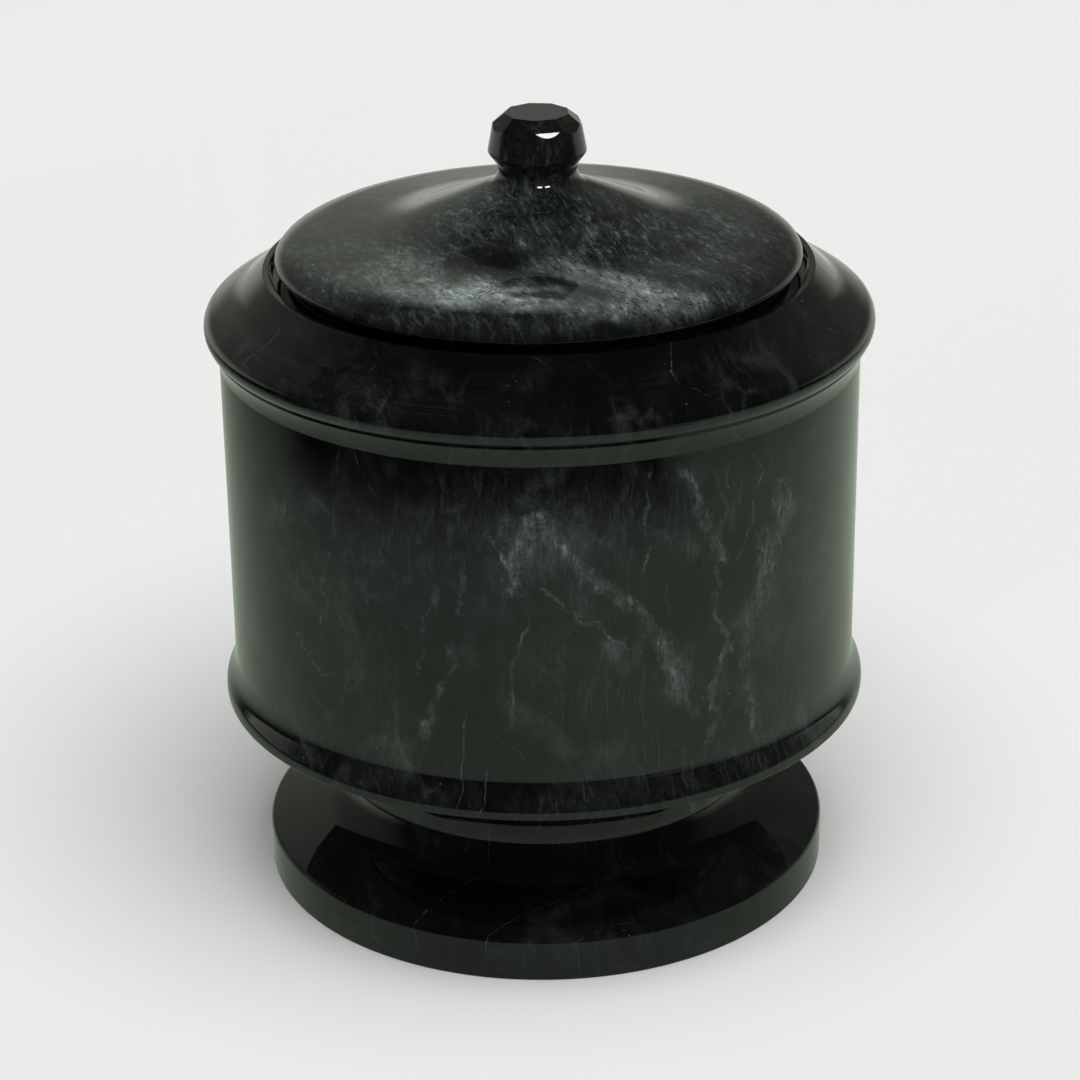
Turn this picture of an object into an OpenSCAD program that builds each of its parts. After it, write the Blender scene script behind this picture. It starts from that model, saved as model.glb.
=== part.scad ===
// Cremation urn: a lidded jar turned from black marble, on a waisted foot.
// Two pieces of stone: the vessel and the lid that lifts off it.
// +Z is up, the origin is the middle of the foot's underside, sizes in millimetres.

/* [Body] */
// Diameter of the straight drum
body_d = 206; // [170:1:250]
// Height of the drum, from the step over the bead to the crease under the collar
body_h = 106; // [80:1:140]
// Thickness of the drum's wall
wall = 13; // [10:0.5:20]
// Thickness of the floor over the bead's underside
floor_t = 12; // [10:0.5:20]
// Round between the hollow's wall and its floor
hollow_round = 14; // [4:0.5:20]

/* [Foot] */
// How far the foot's edge stands in from the drum's side
foot_inset = 8.9; // [4:0.1:16]
// Height of the foot's edge
foot_edge_h = 14.2; // [10:0.1:20]
// Fall of the foot's top, in degrees
foot_fall = 14.5; // [8:0.5:20]
// Round on the foot's upper edge
foot_round = 1.6; // [0.6:0.1:3]
// Round on the foot's lower edge
foot_arris = 0.4; // [0.3:0.1:1.5]

/* [Neck] */
// How far the neck is cut in from the drum's side
neck_cut = 40.7; // [33:0.1:46]
// Radius of the lower half of the neck's hollow curve
neck_low_r = 17; // [10:0.5:22]
// Radius of the upper half of the neck's hollow curve
neck_high_r = 28.4; // [22:0.1:34]
// Height of the straight band between the two halves
neck_band = 0.5; // [0.2:0.1:3]

/* [Bead] */
// How far the bead stands out from the drum
bead_out = 3.5; // [2:0.1:6]
// Height of the bead's band below its slope
bead_h = 3.2; // [2:0.1:6]
// Steepness of the bead's slope away from the upright, in degrees
bead_slope = 27; // [20:1:35]
// Round where the band turns into the slope
bead_round = 6; // [2:0.5:8]
// Radius of the cove between the slope and the drum
bead_cove_r = 17; // [6:0.5:24]
// Round on the bead's lower edge
bead_arris = 0.8; // [0.3:0.1:1.5]

/* [Collar] */
// Height of the cove under the collar
cove_h = 6.4; // [5:0.1:9]
// Lean of the cove at its foot, in degrees
cove_low = 8; // [4:1:14]
// Lean of the cove at its top, in degrees
cove_high = 31; // [24:1:38]
// Height of the narrow upright band between the cove and the roll
band_h = 1.3; // [0.6:0.1:2.5]
// How far the collar's roll stands out from the drum
collar_out = 4.4; // [3.8:0.1:8]
// Radius of the collar's roll
roll_r = 5.3; // [4:0.1:8]
// Slope of the shoulder next to the roll, in degrees
shoulder_low = 34; // [30:1:40]
// Slope of the shoulder at its middle, in degrees
shoulder_mid = 25; // [20:1:29]
// Slope of the shoulder up to the lip, in degrees
shoulder_high = 44; // [38:1:50]
// Width of the lip's flat top
lip_w = 1.9; // [1.2:0.1:3]

/* [Mouth] */
// Depth of the recess that takes the lid
recess_depth = 2.1; // [1:0.1:3]
// How far the recess's wall leans in, from the lip down to the ledge
recess_lean = 1.3; // [0.4:0.1:2]
// Width of the ledge that the lid rests on
ledge_w = 10.7; // [8:0.1:14]
// Depth of the straight mouth below the ledge
mouth_h = 10; // [7:0.5:14]
// Height over which the hollow narrows to the mouth
throat_h = 12; // [8:0.5:16]

/* [Lid] */
// How far the lid's edge stands in from the drum's side
lid_inset = 19; // [16:0.1:24]
// Gap between the lid's edge and the lip, seen from above
lip_gap = 2; // [1.4:0.1:3]
// Height of the lid's lower edge over the ledge
edge_lift = 4.1; // [3:0.1:5]
// Height of the rounding under the lid's edge
edge_under = 1; // [0.5:0.1:3]
// Height of the rounding over the lid's edge
edge_over = 7.1; // [4:0.1:9]
// Width of the rounding over the lid's edge
edge_w = 16; // [8:0.5:20]
// Slope of the lid's outer part, in degrees
lid_fall = 6.3; // [4:0.1:9]
// Diameter at which the slope steepens towards the knob
cone_d = 96; // [80:1:110]
// Slope of the lid's middle, in degrees
cone_fall = 22.6; // [16:0.2:28]
// Radius of the hollow curve where the slope steepens
cone_round = 60; // [10:1:80]
// Radius of the hollow curve up to the knob's neck
knob_root = 5.5; // [2:0.5:8]
// Gap all round between the mouth and the lid's ring
ring_gap = 0.8; // [0.4:0.1:1.5]
// How far the lid's ring reaches into the mouth
ring_h = 6; // [4:0.5:6.5]
// Thickness of the lid's ring
ring_t = 10; // [6:0.5:14]
// Depth of the hollow under the lid, at its rim
dish_h = 7.6; // [6:0.2:9]
// Slope of the hollow under the lid, in degrees
dish_slope = 11; // [4:0.5:14]

/* [Knob] */
// Diameter of the knob's neck
knob_neck_d = 25; // [20:0.2:30]
// Height of the knob's neck
knob_neck_h = 1.6; // [1:0.1:4]
// Depth of the quirk cut round the foot of the knob's neck
quirk = 0.4; // [0.2:0.1:1]
// Diameter at the foot of the knob's underside
knob_low_d = 25.4; // [22:0.2:30]
// Height of the knob's slanting underside
knob_under_h = 4; // [2:0.1:5]
// Diameter of the knob at its widest
knob_d = 31.4; // [31:0.2:38]
// Round where the knob is widest
knob_round = 1.2; // [0.5:0.1:2]
// Height of the knob from its widest part to its top
knob_h = 12.3; // [9:0.1:16]
// Lean of the knob's side, in degrees
knob_lean = 10.5; // [6:0.5:14]
// Number of flats ground round the knob's top
flats = 9; // [7:1:12]
// Distance across the knob's flat top, corner to corner
knob_top_d = 20.6; // [16:0.2:24]
// Slope of the flats, in degrees
flat_fall = 40; // [34:1:46]
// How far one corner of the flats stands left of the front, in degrees
flat_turn = 6; // [0:1:40]

/* [Hidden] */
$fn = 180;
arc_step = 6;           // largest turn between two points of a curve, in degrees
arris = 0.5;            // softening of the edges that are only just broken
front = 270;            // the front faces -Y

// radii of the vessel
body_r = body_d / 2;
foot_r = body_r - foot_inset;
neck_r = body_r - neck_cut;
bead_r = body_r + bead_out;
bore_r = body_r - wall;
lid_r = body_r - lid_inset;
lip_r = lid_r + lip_gap;
ledge_r = lip_r - recess_lean;
mouth_r = ledge_r - ledge_w;
roll_cr = body_r + collar_out - roll_r;

// the cove's radius follows from its height and its two leans
cove_r = cove_h / (sin(cove_high) - sin(cove_low));
band_r = body_r + cove_r * (cos(cove_low) - cos(cove_high));

// heights of the vessel
neck_corner_z = foot_edge_h + (foot_r - neck_r) * tan(foot_fall);
neck_z = neck_corner_z + neck_low_r * tan((90 - foot_fall) / 2);
under_z = neck_z + neck_band + neck_high_r;
bead_z = under_z + bead_h;
drum_z = bead_z + bead_out / tan(bead_slope);
crease_z = drum_z + body_h;
band_z = crease_z + cove_h;
roll_from = 45;         // where the roll starts below its middle, in degrees
roll_to = 90 - shoulder_low;
roll_z = band_z + band_h + roll_r * sin(roll_from);

// the shoulder's two corners and its lip
shoulder_a = 3.6;       // distance from the roll's end to the first corner
shoulder_b = 6.3;       // distance between the two corners
round_a = 40;           // radius at the first corner, where the shoulder flattens
round_b = 15;           // radius at the second corner, where it steepens again
roll_end = [roll_cr + roll_r * cos(roll_to), roll_z + roll_r * sin(roll_to)];
corner_a = roll_end + shoulder_a * [-cos(shoulder_low), sin(shoulder_low)];
corner_b = corner_a + shoulder_b * [-cos(shoulder_mid), sin(shoulder_mid)];
lip_out_r = lip_r + lip_w;
lip_z = corner_b[1] + (corner_b[0] - lip_out_r) * tan(shoulder_high);

// heights of the hollow
ledge_z = lip_z - recess_depth;
throat_z = ledge_z - mouth_h;
hollow_top_z = throat_z - throat_h;
throat_round = 6;       // radius where the wall turns in towards the mouth
floor_z = under_z + floor_t;

// the lid's edge and slopes
edge_z = ledge_z + edge_lift;
edge_mid_z = edge_z + edge_under;
edge_in = 1.5;          // how far the lower edge stands in from the widest part
skirt_in = 3.4;         // how far the resting face stands in from the widest part
edge_turn = acos(edge_w * sin(lid_fall) / norm([edge_w * sin(lid_fall), edge_over * cos(lid_fall)]));
over_end = [lid_r - edge_w + edge_w * cos(edge_turn), edge_mid_z + edge_over * sin(edge_turn)];
cone_z = over_end[1] + (over_end[0] - cone_d / 2) * tan(lid_fall);
knob_neck_r = knob_neck_d / 2;
root_z = cone_z + (cone_d / 2 - knob_neck_r) * tan(cone_fall);

// the lid's ring and the hollow inside it
ring_r = mouth_r - ring_gap;
ring_z = ledge_z - ring_h;
dish_r = ring_r - ring_t;
dish_z = ring_z + dish_h;
dish_flat_r = 20;       // radius of the hollow's flat middle
dish_flat_z = dish_z + (dish_r - dish_flat_r) * tan(dish_slope);
dish_round = 30;        // radius where the flat middle turns into the slope
dish_cove = 4;          // radius between the hollow and the ring

// heights of the knob
stem_z = root_z + knob_root * tan((90 - cone_fall) / 2);
knob_low_z = stem_z + knob_neck_h;
knob_wide_z = knob_low_z + knob_under_h;
top_z = knob_wide_z + knob_h;

// points of an ellipse's arc, from angle a to angle b, without its last point
function arc(c, w, h, a, b) =
    let (n = max(2, ceil(abs(b - a) / arc_step)))
    [for (i = [0 : n - 1]) let (t = a + (b - a) * i / n) c + [w * cos(t), h * sin(t)]];

// a corner q = [r, z, round] between its neighbours p and s, as the points of its rounding
function corner(p, q, s) =
    let (u = ([p[0], p[1]] - [q[0], q[1]]) / norm([p[0] - q[0], p[1] - q[1]]),
         v = ([s[0], s[1]] - [q[0], q[1]]) / norm([s[0] - q[0], s[1] - q[1]]),
         half = acos(u * v) / 2,
         n = max(2, ceil((180 - 2 * half) / arc_step)),
         side = u[0] * v[1] - u[1] * v[0] > 0 ? 1 : -1,
         c = [q[0], q[1]] + (u + v) / norm(u + v) * q[2] / sin(half),
         from = atan2(q[1] + u[1] * q[2] / tan(half) - c[1], q[0] + u[0] * q[2] / tan(half) - c[0]))
    [for (i = [0 : n]) let (t = from - side * (180 - 2 * half) * i / n) c + q[2] * [cos(t), sin(t)]];

// a run of corners as one outline; a corner with no round stays sharp
function outline(pts) =
    [for (i = [0 : len(pts) - 1])
        each (len(pts[i]) < 3 || i == 0 || i == len(pts) - 1)
            ? [[pts[i][0], pts[i][1]]] : corner(pts[i - 1], pts[i], pts[i + 1])];

// foot, neck, bead and drum, from the bottom up
vessel_low = outline([
    [0, 0],
    [foot_r, 0, foot_arris],
    [foot_r, foot_edge_h, foot_round],
    [neck_r, neck_corner_z, neck_low_r],
    [neck_r, under_z, neck_high_r],
    [bead_r, under_z, bead_arris],
    [bead_r, bead_z, bead_round],
    [body_r, drum_z, bead_cove_r],
    [body_r, crease_z - arris]]);

// the collar from the crease to the end of its roll: cove, upright band and roll
collar = concat(
    arc([body_r + cove_r * cos(cove_low), crease_z - cove_r * sin(cove_low)],
        cove_r, cove_r, 180 - cove_low, 180 - cove_high),
    [[band_r, band_z], [band_r, band_z + band_h]],
    arc([roll_cr, roll_z], roll_r, roll_r, -roll_from, roll_to));

// shoulder, lip, ledge and the hollow, from the roll inwards and down
vessel_high = outline([
    roll_end,
    [corner_a[0], corner_a[1], round_a],
    [corner_b[0], corner_b[1], round_b],
    [lip_out_r, lip_z, arris],
    [lip_r, lip_z, arris],
    [ledge_r, ledge_z],
    [mouth_r, ledge_z, arris],
    [mouth_r, throat_z],
    [bore_r, hollow_top_z, throat_round],
    [bore_r, floor_z, hollow_round],
    [0, floor_z]]);

// the lid's underside from its middle out to the resting face
lid_under = outline([
    [0, dish_flat_z],
    [dish_flat_r, dish_flat_z, dish_round],
    [dish_r, dish_z, dish_cove],
    [dish_r, ring_z, arris],
    [ring_r, ring_z, arris],
    [ring_r, ledge_z],
    [lid_r - skirt_in, ledge_z]]);

// the lid's edge: a small rounding below its widest part and a broad one over it
lid_edge = concat(
    arc([lid_r - edge_in, edge_mid_z], edge_in, edge_under, -90, 0),
    arc([lid_r - edge_w, edge_mid_z], edge_w, edge_over, 0, edge_turn));

// the lid's upper side from its edge to the knob's top
lid_top = outline([
    over_end,
    [cone_d / 2, cone_z, cone_round],
    [knob_neck_r, root_z, knob_root],
    [knob_neck_r, stem_z],
    [knob_neck_r - quirk, stem_z + quirk / 2],
    [knob_low_d / 2, knob_low_z],
    [knob_d / 2, knob_wide_z, knob_round],
    [knob_d / 2 - knob_h * tan(knob_lean), top_z],
    [0, top_z]]);

// the hollow jar with its foot, neck, bead and collar, all one block of stone
module vessel() color([0.05, 0.06, 0.055])
    rotate_extrude()
        polygon(concat(vessel_low, collar, vessel_high));

// a block over the slope of one flat, which grinds the knob's top down to it
module flat_cut()
    translate([knob_top_d / 2 * cos(180 / flats), 0, top_z])
        rotate([0, flat_fall, 0])
            translate([-knob_d / 2, -knob_d / 2, 0])
                cube([knob_d, knob_d, knob_h]);

// the lid with its knob, turned in one, and the flats round the knob's top
module lid() color([0.12, 0.13, 0.125])
    difference() {
        rotate_extrude()
            polygon(concat(lid_under, lid_edge, lid_top));
        for (i = [0 : flats - 1])
            rotate([0, 0, front - flat_turn + (i + 0.5) * 360 / flats])
                flat_cut();
    }

vessel();
lid();
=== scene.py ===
# A cremation urn turned from black marble: a hollow jar on a waisted foot, and the lid on it.
# The sections follow the urn as it is put together: jar, lid, then the table and the lamps.
import math

import bmesh
import bpy
from mathutils import Matrix, Vector


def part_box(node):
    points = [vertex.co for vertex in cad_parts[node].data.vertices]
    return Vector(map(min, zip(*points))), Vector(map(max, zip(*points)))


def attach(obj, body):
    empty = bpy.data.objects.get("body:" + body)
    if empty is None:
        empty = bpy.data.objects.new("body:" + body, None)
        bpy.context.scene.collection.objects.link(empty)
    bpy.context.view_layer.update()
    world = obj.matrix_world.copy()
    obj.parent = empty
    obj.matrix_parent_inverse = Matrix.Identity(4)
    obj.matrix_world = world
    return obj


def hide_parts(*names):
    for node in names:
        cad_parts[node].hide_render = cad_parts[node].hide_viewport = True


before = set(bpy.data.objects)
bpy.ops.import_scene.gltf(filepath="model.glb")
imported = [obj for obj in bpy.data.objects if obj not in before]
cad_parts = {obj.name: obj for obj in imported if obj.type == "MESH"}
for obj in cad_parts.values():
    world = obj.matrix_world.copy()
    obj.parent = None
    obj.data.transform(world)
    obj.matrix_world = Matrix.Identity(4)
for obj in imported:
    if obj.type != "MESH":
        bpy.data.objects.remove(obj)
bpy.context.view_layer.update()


# ---- The jar ---------------------------------------------------------------------------
# One block of black marble: foot, neck, bead, drum and collar are turned on a lathe in one
# piece and polished all over, and the block is bored out from the top. Sizes are in
# millimetres, as the radius from the turning axis and the height over the table.

MM = 0.001
TURNS = 256                              # faces round a turned piece
BEND = math.radians(4)                   # largest bend between two faces of a round
ARRIS = 0.5                              # softening of an edge that is only just broken


def polar(centre_r, centre_z, radius, angle):
    """The point at that angle, in degrees above the level, on a circle in the outline."""
    turned = math.radians(angle)
    return centre_r + radius * math.cos(turned), centre_z + radius * math.sin(turned)


def meeting(first, first_rise, second, second_rise):
    """Where two lines cross, each given by a point and its rise in degrees."""
    a = math.radians(first_rise)
    b = math.radians(second_rise)
    across = second[0] - first[0]
    up = second[1] - first[1]
    reach = (across * math.sin(b) - up * math.cos(b)) / math.sin(b - a)
    return first[0] + reach * math.cos(a), first[1] + reach * math.sin(a)


def line_to(mesh, tip, place):
    """Draws a straight line from the tip of the outline, and returns the new tip."""
    drawn = bmesh.ops.extrude_vert_indiv(mesh, verts=[tip])["verts"][0]
    drawn.co = place * MM
    return drawn


def draw_outline(mesh, corners):
    """Draws an outline through corners (radius, height, rounding), with true arcs."""
    places = [Vector((corner[0], 0, corner[1])) for corner in corners]
    tip = mesh.verts.new(places[0] * MM)
    for before, corner, after, spec in zip(places, places[1:], places[2:], corners[1:]):
        rounding = spec[2] if len(spec) > 2 else 0
        come = (corner - before).normalized()
        leave = (after - corner).normalized()
        bend = come.angle(leave)
        start = corner - come * rounding * math.tan(bend / 2)
        tip = line_to(mesh, tip, start)
        if rounding > 0:
            axis = come.cross(leave).normalized()
            centre = start + axis.cross(come) * rounding
            arc = bmesh.ops.spin(mesh, geom=[tip], cent=centre * MM, axis=axis, angle=bend,
                                 steps=max(2, math.ceil(bend / BEND)))
            tip = next(v for v in arc["geom_last"] if isinstance(v, bmesh.types.BMVert))
    line_to(mesh, tip, places[-1])


def in_order(mesh):
    """Sorts edges and faces by their corners, because spin makes them in no fixed order."""
    mesh.verts.index_update()

    def rank(part):
        place = 0
        for corner in sorted(vert.index for vert in part.verts)[:3]:
            place = place * len(mesh.verts) + corner
        return place

    mesh.edges.sort(key=rank)
    mesh.faces.sort(key=rank)


def spin_outline(mesh):
    """Turns the outline once round the axis and closes the seam and the poles."""
    bmesh.ops.remove_doubles(mesh, verts=mesh.verts, dist=0.001 * MM)
    bmesh.ops.spin(mesh, geom=mesh.verts[:] + mesh.edges[:], cent=(0, 0, 0), axis=(0, 0, 1),
                   angle=2 * math.pi, steps=TURNS, use_merge=True)
    bmesh.ops.remove_doubles(mesh, verts=mesh.verts, dist=0.001 * MM)
    bmesh.ops.recalc_face_normals(mesh, faces=mesh.faces)
    in_order(mesh)


def turned_piece(mesh, name, stone):
    """Makes the piece from its finished mesh: smooth, but crisp at its real corners."""
    for face in mesh.faces:
        face.smooth = True
    for edge in mesh.edges:
        edge.smooth = edge.calc_face_angle(0) < 1.5 * BEND
    data = bpy.data.meshes.new(name)
    mesh.to_mesh(data)
    mesh.free()
    data.materials.append(stone)
    piece = bpy.data.objects.new(name, data)
    bpy.context.scene.collection.objects.link(piece)
    shading = piece.modifiers.new("even shading", "WEIGHTED_NORMAL")
    shading.keep_sharp = True
    return piece


jar_low, jar_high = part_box("vessel")
rest_z = jar_low.z / MM
lip_z = jar_high.z / MM
collar_r = jar_high.x / MM               # the collar's roll is the urn's widest part

roll_r = 5.3
drum_r = collar_r - 4.4
neck_r = drum_r - 40.7
foot_r = drum_r - 8.9
bead_r = drum_r + 3.5
lip_in_r = drum_r - 17
lip_out_r = lip_in_r + 1.9
ledge_r = lip_in_r - 1.3
mouth_r = ledge_r - 10.7
hollow_r = drum_r - 13

foot_edge_z = rest_z + 14.2
neck_low_z = foot_edge_z + (foot_r - neck_r) * math.tan(math.radians(14.5))
bead_under_z = neck_low_z + 17 * math.tan(math.radians(37.75)) + 0.5 + 28.4
bead_z = bead_under_z + 3.2
drum_low_z = bead_z + 3.5 / math.tan(math.radians(27))
floor_z = bead_under_z + 12
crease_z = lip_z - 28.7
band_z = crease_z + 6.4
band_r = drum_r + 2.27
ledge_z = lip_z - 2.1
throat_z = ledge_z - 10

# the cove under the collar leans out from 8 to 31 degrees, and the roll joins the shoulder
cove = meeting((drum_r, crease_z), 82, (band_r, band_z), 59)
roll_centre = (collar_r - roll_r, band_z + 1.3 + roll_r * math.sin(math.radians(45)))
roll_low = polar(*roll_centre, roll_r, -45)
roll_high = polar(*roll_centre, roll_r, 56)
roll_nose = meeting(roll_low, 45, roll_high, 146)
shoulder_low = polar(*roll_high, 3.6, 146)
shoulder_high = polar(*shoulder_low, 6.3, 155)

jar = bmesh.new()
draw_outline(jar, [
    (0, rest_z),
    (foot_r, rest_z, 0.4),
    (foot_r, foot_edge_z, 1.6),
    (neck_r, neck_low_z, 17),
    (neck_r, bead_under_z, 28.4),
    (bead_r, bead_under_z, 0.8),
    (bead_r, bead_z, 6),
    (drum_r, drum_low_z, 17),
    (drum_r, crease_z),
    (*cove, 17),
    (band_r, band_z),
    (band_r, band_z + 1.3),
    roll_low,
    (*roll_nose, roll_r),
    (*shoulder_low, 40),
    (*shoulder_high, 15),
    (lip_out_r, lip_z, ARRIS),
    (lip_in_r, lip_z, ARRIS),
    (ledge_r, ledge_z),
    (mouth_r, ledge_z, ARRIS),
    (mouth_r, throat_z),
    (hollow_r, throat_z - 12, 6),
    (hollow_r, floor_z, 14),
    (0, floor_z),
])
spin_outline(jar)


class Wire:
    """A value in a material's nodes. Sums on it add Math nodes, and node() adds any other."""

    def __init__(self, tree, socket):
        self.tree = tree
        self.socket = socket

    def node(self, kind, settings=None, inputs=None, output=0):
        made = self.tree.nodes.new("ShaderNode" + kind)
        for name, value in (settings or {}).items():
            if name == "route":
                curve = made.mapping.curves[0]
                while len(curve.points) < len(value):
                    curve.points.new(0.5, 0.5)
                for point, place in zip(curve.points, value):
                    point.location = place
                    point.handle_type = "VECTOR"
                made.mapping.update()
            else:
                setattr(made, name, value)
        for name, value in (inputs or {}).items():
            if isinstance(value, Wire):
                self.tree.links.new(value.socket, made.inputs[name])
            else:
                made.inputs[name].default_value = value
        return Wire(self.tree, made.outputs[output])

    def other(self, output):
        return Wire(self.tree, self.socket.node.outputs[output])

    def sum(self, operation, *values):
        return self.node("Math", {"operation": operation}, dict(enumerate(values)))

    def __add__(self, other):
        return self.sum("ADD", self, other)

    def __sub__(self, other):
        return self.sum("SUBTRACT", self, other)

    def __rsub__(self, other):
        return self.sum("SUBTRACT", other, self)

    def __mul__(self, other):
        return self.sum("MULTIPLY", self, other)

    def __abs__(self):
        return self.sum("ABSOLUTE", self)

    __radd__ = __add__
    __rmul__ = __mul__

    def fade(self, start, end):
        """Goes smoothly from 0, where this value is start, to 1, where it is end."""
        if start > end:
            return 1 - self.fade(end, start)
        return self.node("MapRange", {"interpolation_type": "SMOOTHSTEP"},
                         {"Value": self, "From Min": start, "From Max": end})


def noise(place, grain, detail=3.0, roughness=0.55, output=0):
    """Cloudy noise from 0 to 1, whose lumps are about grain millimetres long."""
    return place.node("TexNoise", None, {"Vector": place, "Scale": 1 / (grain * MM),
                                         "Detail": detail, "Roughness": roughness},
                      output)


def stirred(place, grain, reach):
    """The place pushed about by noise, by up to about reach millimetres."""
    push = noise(place, grain, 2.0, 0.5, output=1)
    level = push.node("VectorMath", {"operation": "SUBTRACT"}, {0: push, 1: (0.5, 0.5, 0.5)})
    return push.node("VectorMath", {"operation": "MULTIPLY_ADD"},
                     {0: level, 1: (4 * reach * MM,) * 3, 2: place})


def along_bed(place, turn, across, along, upright):
    """The place measured along the stone's bed, so noise on it draws out into streaks."""
    return place.node("Mapping", {"vector_type": "TEXTURE"},
                      {"Vector": place, "Rotation": (0, 0, math.radians(turn)),
                       "Scale": (across, along, upright)})


def patch(place, centre, size, turn=(0, 0, 0), soft=0.8):
    """1 inside an ellipsoid of the stone, fading to 0 at its edge, in millimetres."""
    inside = place.node("Mapping", {"vector_type": "TEXTURE"},
                        {"Vector": place, "Location": Vector(centre) * MM,
                         "Rotation": [math.radians(angle) for angle in turn],
                         "Scale": Vector(size) * MM})
    reach = inside.node("VectorMath", {"operation": "LENGTH"}, {0: inside}, output=1)
    return reach.fade(1, 1 - soft)


def vein(place, route, width, strength):
    """A hair vein in the front of the stone, along a route of (depth, side) in millimetres.

    Side is to the right of the axis. Depth is the height less the distance to the front,
    so it falls steadily down the jar and out over each moulding.
    """
    side = place.node("SeparateXYZ", None, {0: place})
    depth = side.other(1) + side.other(2)
    first, last = route[0][0] * MM, route[-1][0] * MM
    share = (depth - first) * (1 / (last - first))
    reach = 0.25
    steps = [((d * MM - first) / (last - first), s * MM / reach + 0.5) for d, s in route]
    aim = share.node("FloatCurve", {"route": steps}, {"Value": share})
    gap = abs(side - (aim - 0.5) * reach)
    front = side.other(1).fade(0, -0.01)
    ends = share.fade(-0.02, 0.05) * share.fade(1.02, 0.9)
    return gap.fade(width * MM, 0) * ends * front * strength


BED = 25                                 # degrees from back-to-front to the way the bed runs


def net(place, cell, width, upright=1.0):
    """Lines of a given width between cells of a given size, in millimetres: healed cracks."""
    stretched = along_bed(place, BED, 1, 1.3, upright)
    edges = stretched.node("TexVoronoi", {"feature": "DISTANCE_TO_EDGE"},
                           {"Vector": stretched, "Scale": 1 / (cell * MM)})
    return edges.fade(width / cell, 0)


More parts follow.
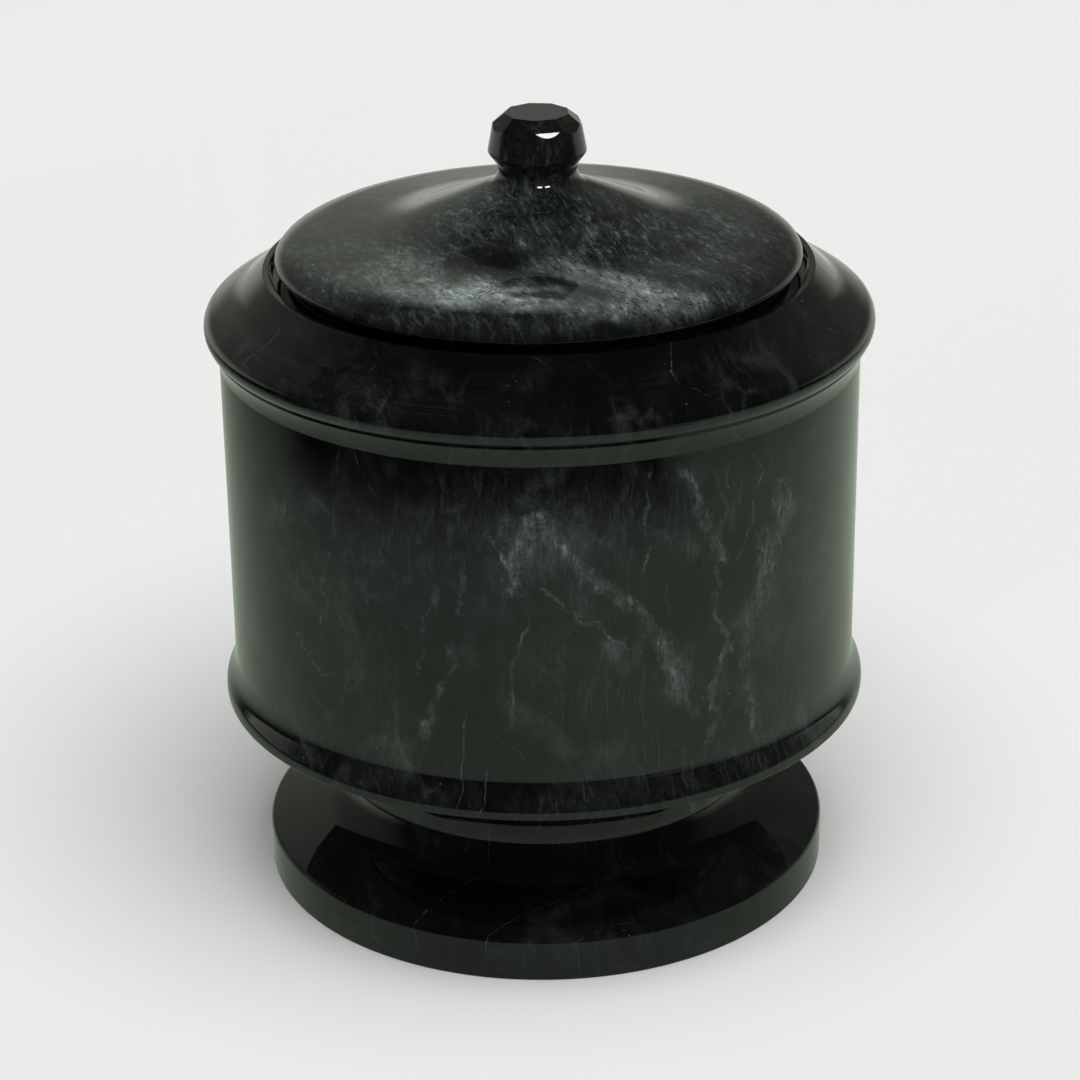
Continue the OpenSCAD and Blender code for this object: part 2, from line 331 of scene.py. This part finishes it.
def marble(name, ground, fog, wisps, flakes, streaks, fissures, clouds, dark_patches_and_painted_shade, drawn, veins):
    """Polished black marble: milky fog, wispy nets, flakes along the bed, and hair veins.

    Fog, wisps, flakes, streaks and fissures are the strengths of what runs all through it.
    Clouds are paler places, and darker places are listed after them: dark patches in the stone,
    and bands darkened all round as painted shade. Both are (strength, centre, size, turn), and
    drawn wisps and veins are (route, width, strength).
    """
    stone = bpy.data.materials.new(name)
    stone.use_nodes = True
    tree = stone.node_tree
    surface = tree.nodes["Principled BSDF"]
    place = Wire(tree, tree.nodes.new("ShaderNodeTexCoord").outputs["Object"])

    # the bed stands upright and runs nearly back to front, and the flakes lie in it
    drifting = stirred(place, 30, 5)
    ruffled = stirred(place, 9, 1.0)
    crooked = stirred(stirred(place, 24, 3), 5, 0.6)
    fibre = noise(along_bed(ruffled, BED, 1, 4, 7), 0.8, 4, 0.75).fade(0.32, 0.7)
    grain = noise(place, 0.6, 3, 0.8).fade(0.25, 0.75)
    milk = noise(along_bed(drifting, BED, 1, 2.2, 2), 8, 7, 0.72).fade(0.36, 0.68)
    thick = noise(drifting, 40, 3, 0.5).fade(0.38, 0.62)
    flake = noise(along_bed(ruffled, BED, 1, 3.2, 3), 1.7, 3, 0.6).fade(0.48, 0.74)
    streak = noise(along_bed(stirred(place, 20, 1.5), BED, 1, 5, 15), 1.1, 3, 0.6).fade(0.54, 0.75)

    fuzz = 0.25 + fibre * 0.6 + grain * 0.5
    wide = net(crooked, 36, 3.5, 2.2) * noise(place, 26, 3).fade(0.5, 0.64)
    fine = net(stirred(crooked, 2.5, 0.25), 18, 0.9, 1.8) * noise(place, 17, 2).fade(0.5, 0.64)
    pale = (0.25 + milk) * (0.3 + thick) * fuzz * fog + (wide + fine * 0.7) * fuzz * wisps
    pale = pale + flake * (0.25 + thick) * (0.3 + milk) * flakes
    pale = pale + streak * (0.2 + thick) * (0.4 + grain) * streaks
    for strength, centre, size, turn in clouds:
        torn = patch(stirred(stirred(place, 14, 3), 4, 0.8), centre, size, turn)
        mottle = (0.35 + 0.65 * milk) * (0.5 + 0.5 * flake) * (0.3 + 0.7 * fuzz)
        pale = pale + torn * mottle * strength
    if drawn:
        torn = stirred(stirred(stirred(place, 14, 2), 4, 1), 1.2, 0.5)
        patchy = noise(place, 7, 5, 0.7).fade(0.3, 0.62) * (0.4 + flake) * fuzz
        for route, width, strength in drawn:
            pale = pale + vein(torn, route, width, strength) * patchy
    # darker places: dark patches in the stone, and bands darkened all round as painted shade
    for strength, centre, size, turn in dark_patches_and_painted_shade:
        pale = pale * (1 - strength * patch(crooked, centre, size, turn, 0.6))
    crease = abs(noise(crooked, 8, 4, 0.65) - 0.5).fade(0.03, 0) * thick
    pale = pale * (1 - fissures * crease)

    hair = net(stirred(stirred(place, 40, 5), 3, 0.2), 44, 0.22, 1.5)
    hair = hair * noise(place, 24, 2).fade(0.52, 0.62) * 0.045
    wander = stirred(stirred(place, 12, 1.0), 3, 0.25)
    for route, width, strength in veins:
        hair = hair.sum("MAXIMUM", hair, vein(wander, route, width, strength))
    broken = noise(place, 3, 3).fade(0.4, 0.62)
    speck = noise(place, 1.1, 0).fade(0.88, 0.91) * 0.2

    # the lathe left fine rings, which show best on the shoulder
    parts = place.node("SeparateXYZ", None, {0: place})
    radius = parts.sum("SQRT", parts * parts + parts.other(1) * parts.other(1))
    turned = parts.node("CombineXYZ", None, {0: radius, 1: parts.other(2)})
    ring = noise(turned, 0.35, 2, 0.7)
    scratch = ring.fade(0.55, 0.75) * noise(place, 18, 2).fade(0.45, 0.62)
    scratch = scratch * parts.other(2).fade(0.188, 0.196) * 0.03
    pale = pale + hair * (0.15 + 0.85 * broken) + speck + scratch
    pale = pale.sum("MINIMUM", pale, 1.0)

    colour = pale.node("Mix", {"data_type": "RGBA"}, {0: pale}, 2)
    mix = colour.socket.node
    mix.inputs[6].default_value = (*ground, 1)
    mix.inputs[7].default_value = (0.46, 0.54, 0.50, 1)
    tree.links.new(colour.socket, surface.inputs["Base Color"])

    dull = 0.02 + 0.1 * pale + noise(place, 50, 3) * 0.015
    tree.links.new(dull.socket, surface.inputs["Roughness"])

    height = ring * 0.0000006 + noise(place, 35, 2) * 0.0001 + broken * 0.000002
    bump = height.node("Bump", None, {"Height": height, "Distance": 1.0, "Strength": 0.5})
    tree.links.new(bump.socket, surface.inputs["Normal"])
    surface.inputs["IOR"].default_value = 1.5
    return stone


jar_stone = marble("black marble", ground=(0.0016, 0.0021, 0.0019), fog=0.021, wisps=0.04,
                   flakes=0.014, streaks=0.035, fissures=0.4,
                   clouds=[
                       (0.16, (4, -103, 158), (24, 30, 15), (0, 0, 0)),
                       (0.10, (1, -103, 178), (7, 30, 6), (0, 0, 0)),
                       (0.14, (44, -94, 172), (5, 30, 9), (0, 12, 0)),
                       (0.22, (22, -101, 121), (5, 30, 5), (0, 0, 0)),
                       (0.13, (40, -94, 108), (6, 30, 13), (0, 12, 0)),
                       (0.12, (-32, -98, 137), (2, 30, 5), (0, 0, 0)),
                       (0.10, (-27, -100, 160), (2, 30, 4), (0, 0, 0)),
                       (0.10, (-38, -96, 156), (3, 30, 3), (0, 0, 0)),
                       (0.30, (51, -80, 198), (11, 6, 4), (0, 0, 30)),
                   ],
                   dark_patches_and_painted_shade=[
                       # painted shade: the top of the drum darkened all round, under the collar's
                       # overhang, where it also mirrors the dark room past the table's edge
                       (0.6, (0, 0, 181), (170, 170, 11), (0, 0, 0)),
                       # the collar's stone is cleaner, and its darkening all round is partly painted
                       # shade where the shoulder faces the dark room above
                       (0.9, (0, 0, 210), (170, 170, 24), (0, 0, 0)),
                       # the foot has fewer pale marks, and its darkening all round is partly painted
                       # shade under the drum
                       (0.6, (0, 0, 12), (150, 150, 24), (0, 0, 0)),
                       (0.6, (-19, -101, 112), (5, 30, 16), (0, 8, 0)),
                   ],
                   drawn=[
                       ([(62, -2), (55, 4), (46, 13), (38, 20), (29, 34), (19, 38), (-1, 44)], 6.2, 0.25),
                       ([(62, -1), (55, -6), (45, -9), (34, -8)], 5.6, 0.25),
                       ([(40, -1), (32, 7), (27, 17), (21, 22), (18, 30)], 1.5, 0.27),
                       ([(85, 40), (76, 45), (68, 49), (53, 55)], 3.2, 0.23),
                       ([(52, 52), (39, 52), (27, 57), (13, 53), (4, 52), (-14, 48)], 1.6, 0.24),
                       ([(90, 75), (77, 73), (58, 68), (42, 64), (31, 61)], 5, 0.2),
                       ([(34, 62), (10, 64), (-4, 66)], 3.8, 0.17),
                       ([(80, 32), (59, 31), (44, 30)], 0.7, 0.21),
                       ([(56, -15), (46, -11), (39, -9)], 0.8, 0.24),
                       ([(48, -24), (38, -25), (31, -26)], 1.4, 0.21),
                       ([(35, -34), (26, -37), (15, -39)], 1, 0.21),
                       ([(24, -28), (15, -27), (10, -31), (-7, -36)], 2.5, 0.17),
                       ([(27, -4), (17, -8), (10, -10), (-9, -11)], 1, 0.21),
                       ([(45, -76), (30, -71), (22, -66)], 0.8, 0.18),
                       ([(63, -64), (58, -67), (44, -69)], 0.7, 0.18),
                   ],
                   veins=[
                       ([(0, -24.5), (-27, -25), (-36, -28)], 0.25, 0.14),
                       ([(-21, -17.5), (-36, -19), (-44, -23), (-52, -32), (-60, -38),
                         (-70, -43), (-81, -42)], 0.25, 0.16),
                       ([(-59, 4), (-66, -10), (-77, -19), (-85, -20)], 0.25, 0.13),
                       ([(-63, -2.5), (-54, 9.5), (-43, 23), (-35, 34)], 0.25, 0.11),
                       ([(160, -78), (151, -82), (143, -89), (137, -92)], 0.25, 0.16),
                       ([(136, 39), (118, 38.5), (111, 40), (105, 52)], 0.25, 0.12),
                       ([(99, 57), (90, 67), (78, 64), (70, 64), (62, 68), (49, 69)], 0.25, 0.14),
                       ([(70, 64), (55, 58)], 0.25, 0.12),
                   ])
vessel = turned_piece(jar, "marble_jar", jar_stone)
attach(vessel, "root")
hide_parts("vessel")


# ---- The lid ---------------------------------------------------------------------------
# A second block of the same marble, paler and more streaked: a low dome with a rounded
# edge, turned in one with its knob. It rests on the ledge inside the lip, and a ring under
# it keeps it in the mouth. Nine flats are ground round the top of the knob by hand.

lid_low, lid_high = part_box("lid")
knob_top_z = lid_high.z / MM
lid_r = lid_high.x / MM

edge_z = ledge_z + 5.1                  # height of the lid's widest part
edge_in = 1.5
edge_under = 1
edge_w = 16
edge_over = 7.1
ring_r = mouth_r - 0.8
ring_z = lid_low.z / MM
dish_r = ring_r - 10
dish_z = ring_z + 7.6
dish_flat_z = dish_z + (dish_r - 20) * math.tan(math.radians(11))

lid_fall = math.radians(6.3)
edge_turn = math.acos(edge_w * math.sin(lid_fall)
                      / math.hypot(edge_w * math.sin(lid_fall), edge_over * math.cos(lid_fall)))
dome_start = (lid_r - edge_w + edge_w * math.cos(edge_turn),
              edge_z + edge_over * math.sin(edge_turn))
cone_z = dome_start[1] + (dome_start[0] - 48) * math.tan(lid_fall)
stem_r = 12.5
root_z = cone_z + (48 - stem_r) * math.tan(math.radians(22.6))
stem_z = root_z + 5.5 * math.tan(math.radians(33.7))
knob_r = 15.7
knob_h = 12.3
knob_lean = math.tan(math.radians(10.5))
knob_wide_z = knob_top_z - knob_h
knob_low_z = knob_wide_z - 4


def ellipse_run(centre_r, centre_z, width, height, first, last, steps):
    """Points along a quarter-round that is wider than it is high, or the other way."""
    angles = [first + (last - first) * step / steps for step in range(1, steps)]
    return [(centre_r + width * math.cos(a), centre_z + height * math.sin(a)) for a in angles]


cover = bmesh.new()
draw_outline(cover, [
    (0, dish_flat_z),
    (20, dish_flat_z, 30),
    (dish_r, dish_z, 4),
    (dish_r, ring_z, ARRIS),
    (ring_r, ring_z, ARRIS),
    (ring_r, ledge_z),
    (lid_r - 3.4, ledge_z),
    (lid_r - edge_in, edge_z - edge_under),
    *ellipse_run(lid_r - edge_in, edge_z, edge_in, edge_under, -math.pi / 2, 0, 12),
    (lid_r, edge_z),
    *ellipse_run(lid_r - edge_w, edge_z, edge_w, edge_over, 0, edge_turn, 24),
    dome_start,
    (48, cone_z, 60),
    (stem_r, root_z, 5.5),
    (stem_r, stem_z),
    (12.1, stem_z + 0.2),
    (12.7, knob_low_z, 0.3),
    (knob_r, knob_wide_z, 1.2),
    (knob_r - knob_h * knob_lean, knob_top_z),
    (0, knob_top_z),
])
spin_outline(cover)

# each flat takes a slice off the knob's top edge, and its lower arris is eased; a slice is
# its fall in degrees, and the place it passes through: out from the axis and under the top
FLATS = 9
flat_reach = 10.3 * math.cos(math.pi / FLATS)
slices = ((40, flat_reach, 0), (60, 13.86, 3.86))
for flat in range(FLATS):
    turned = math.radians(264 + (flat + 0.5) * 360 / FLATS)
    outward = Vector((math.cos(turned), math.sin(turned), 0))
    for fall, reach, drop in slices:
        tilt = math.radians(fall)
        facing = outward * math.sin(tilt) + Vector((0, 0, math.cos(tilt)))
        knob = [face for face in cover.faces if face.calc_center_median().z > knob_wide_z * MM]
        # a dict keeps the order that it is filled in, where a set would not
        parts = knob + list(dict.fromkeys(edge for face in knob for edge in face.edges))
        parts += list(dict.fromkeys(vert for face in knob for vert in face.verts))
        through = outward * reach + Vector((0, 0, knob_top_z - drop))
        cut = bmesh.ops.bisect_plane(cover, geom=parts, dist=0.0001 * MM, plane_no=facing,
                                     plane_co=through * MM, clear_outer=True)
        rim = [part for part in cut["geom_cut"] if isinstance(part, bmesh.types.BMEdge)]
        bmesh.ops.contextual_create(cover, geom=rim)
bmesh.ops.remove_doubles(cover, verts=cover.verts, dist=0.001 * MM)
bmesh.ops.recalc_face_normals(cover, faces=cover.faces)

lid_stone = marble("grey-streaked black marble", ground=(0.003, 0.0038, 0.0035), fog=0.042,
                   wisps=0.03, flakes=0.12, streaks=0.07, fissures=0.9,
                   clouds=[
                       (1.3, (-16, -62, 221), (38, 13, 14), (0, 0, -12)),
                       (0.75, (22, -54, 222), (42, 11, 14), (0, 0, -30)),
                       (0.6, (30, -68, 218), (28, 11, 12), (0, 0, 20)),
                       (0.4, (-45, -40, 218), (28, 22, 12), (0, 0, 0)),
                   ],
                   dark_patches_and_painted_shade=[
                       (0.75, (-15, -41, 224), (20, 9, 12), (0, 0, -15)),
                       (0.7, (1, -64, 221), (15, 4, 12), (0, 0, 0)),
                       (0.7, (43, 40, 222), (14, 2, 12), (0, 0, 50)),
                       # painted shade: the lid's edge darkened all round, standing in for the dark room
                       # it mirrors
                       (0.75, (0, 0, 212), (170, 170, 5), (0, 0, 0)),
                       (0.4, (0, 0, 250), (30, 30, 18), (0, 0, 0)),
                   ],
                   drawn=[],
                   veins=[])
lid = turned_piece(cover, "marble_lid", lid_stone)
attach(lid, "root")
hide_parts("lid")


# ---- The table and the light -----------------------------------------------------------
# A plain white table. The stone is a dark mirror, so what it shows is the lit table and wall,
# and the dark of the room over it and past the table's front edge; the lit table it mirrors is
# a glowing sheet with painted light and shadow.

def plain(name, colour, roughness):
    """A plain paint."""
    paint = bpy.data.materials.new(name)
    paint.use_nodes = True
    surface = paint.node_tree.nodes["Principled BSDF"]
    surface.inputs["Base Color"].default_value = (*colour, 1)
    surface.inputs["Roughness"].default_value = roughness
    return paint


def flat_sheet(name, low, high, height, finish):
    """A level rectangle, from its low corner to its high corner, in metres."""
    mesh = bmesh.new()
    bmesh.ops.create_grid(mesh, x_segments=1, y_segments=1, size=0.5)
    size = Vector((high[0] - low[0], high[1] - low[1], 1))
    middle = Vector(((high[0] + low[0]) / 2, (high[1] + low[1]) / 2, height))
    bmesh.ops.scale(mesh, vec=size, verts=mesh.verts)
    bmesh.ops.translate(mesh, vec=middle, verts=mesh.verts)
    data = bpy.data.meshes.new(name)
    mesh.to_mesh(data)
    mesh.free()
    data.materials.append(finish)
    sheet = bpy.data.objects.new(name, data)
    bpy.context.scene.collection.objects.link(sheet)
    return sheet


table_z = rest_z * MM
table = flat_sheet("table", (-6, -6), (6, 6), table_z, plain("white table", (0.88, 0.88, 0.88), 0.7))
table.visible_glossy = False

# the polished stone mirrors a glowing sheet that only mirrors see: a painted pool of light round
# the urn, with painted shadow near its foot, cut off at the front and left, and a bright table far behind
pool = bpy.data.materials.new("pool of light")
pool.use_nodes = True
tree = pool.node_tree
tree.nodes.clear()
where = Wire(tree, tree.nodes.new("ShaderNodeTexCoord").outputs["Object"])
spread = where.node("Mapping", {"vector_type": "TEXTURE"},
                    {"Vector": where, "Location": (0.12, 0.1, 0), "Scale": (0.85, 1.1, 1)})
far = spread.node("VectorMath", {"operation": "LENGTH"}, {0: spread}, output=1)
out = where.node("VectorMath", {"operation": "LENGTH"}, {0: where}, output=1)
axes = where.node("SeparateXYZ", None, {0: where})
behind = axes.other(1).fade(0.35, 1.1)
past_edge = out.fade(0.42, 0.52) * axes.other(1).fade(0.1, -0.1) * axes.fade(0.42, 0.3)
# painted pool of light fading out from the urn, and painted shadow: the glow falls to half at the urn's
# foot
glow = far.fade(1.15, 0.2) * (0.5 + 0.5 * out.fade(0, 0.35)) * (1 - past_edge)
glow = glow * 0.58 + behind * 0.6
warm = glow.node("Mix", {"data_type": "RGBA"}, {0: behind}, 2)
warm.socket.node.inputs[6].default_value = (0.86, 1, 0.80, 1)
warm.socket.node.inputs[7].default_value = (0.97, 1, 0.95, 1)
shine = glow.node("Emission", None, {"Color": warm, "Strength": glow})
tree.links.new(shine.socket, tree.nodes.new("ShaderNodeOutputMaterial").inputs[0])
mirrored = flat_sheet("glowing_reflection_sheet", (-6, -6), (6, 6), table_z + 0.0002, pool)
mirrored.visible_camera = False
mirrored.visible_diffuse = False
mirrored.visible_shadow = False

room = bpy.data.worlds.new("room")
bpy.context.scene.world = room
room.use_nodes = True
tree = room.node_tree
tree.nodes.clear()
way = Wire(tree, tree.nodes.new("ShaderNodeTexCoord").outputs["Generated"])
side = way.node("SeparateXYZ", None, {0: way})
back = side.other(1)
rise = side.other(2)
wall = (0.1 + 0.23 * side.fade(0.22, -0.1)) * (1 - 0.5 * side.fade(-0.1, -0.6))
wall = wall * rise.fade(0.75, 0.72) * (1 - 0.5 * rise.fade(0.5, 0.75)) + 0.35 * rise.fade(0.2, 0)
wall = wall * back.fade(-0.1, 0.35)
glow = wall + 0.015
seen = Wire(tree, tree.nodes.new("ShaderNodeLightPath").outputs["Is Camera Ray"])
level = glow + seen * (0.9 - glow)
tint = seen.node("Mix", {"data_type": "RGBA"}, {0: seen}, 2)
tint.socket.node.inputs[6].default_value = (0.94, 1, 0.86, 1)
tint.socket.node.inputs[7].default_value = (1, 1, 1, 1)
lit = level.node("Background", None, {"Color": tint, "Strength": level})
tree.links.new(lit.socket, tree.nodes.new("ShaderNodeOutputWorld").inputs[0])


def lamp(name, kind, azimuth, elevation, power, size, at=(0, 0, 0.2), reach=1.4):
    """A lamp aimed at a place: azimuth to the right of the front, and elevation, in degrees."""
    turn, lift = math.radians(azimuth), math.radians(elevation)
    way = Vector((math.sin(turn) * math.cos(lift), -math.cos(turn) * math.cos(lift),
                  math.sin(lift)))
    data = bpy.data.lights.new(name, kind)
    data.energy = power
    if kind == "SUN":
        data.angle = math.radians(size)
    elif kind == "SPOT":
        data.spot_size = math.radians(size)
        data.spot_blend = 0.3
        data.shadow_soft_size = 0.025                # radius of the lamp, in metres
    made = bpy.data.objects.new(name, data)
    bpy.context.scene.collection.objects.link(made)
    made.location = way * reach + Vector(at)
    made.rotation_euler = way.to_track_quat("Z", "Y").to_euler()
    return made


soft = lamp("soft_light", "SUN", 20, 72, 3.0, 60)
soft.visible_glossy = False
# two small lamps close to the knob light nothing, but the polished stone mirrors them
for azimuth, elevation in ((6, 38), (29, 36)):
    spot = lamp("knob_lamp", "SPOT", azimuth, elevation, 0.7, 14, at=(0, 0, 0.243), reach=0.2)
    spot.visible_diffuse = False


# ---- The camera ------------------------------------------------------------------------
# A long lens a metre off, looking down on the urn from the front.

aim = Vector((-0.0008, 0, 0.1117))
camera_data = bpy.data.cameras.new("camera")
camera_data.lens = 103.5
camera_data.sensor_width = 36
camera = bpy.data.objects.new("camera", camera_data)
bpy.context.scene.collection.objects.link(camera)
lift = math.radians(23.93)
view = Vector((0, math.cos(lift), -math.sin(lift)))
camera.location = aim - view * 1.0296
turn = view.to_track_quat("-Z", "Y").to_matrix().to_4x4()
camera.matrix_world = Matrix.Translation(camera.location) @ turn @ Matrix.Rotation(
    math.radians(-0.77), 4, "Z")
bpy.context.scene.camera = camera
bpy.context.scene.view_settings.view_transform = "Standard"
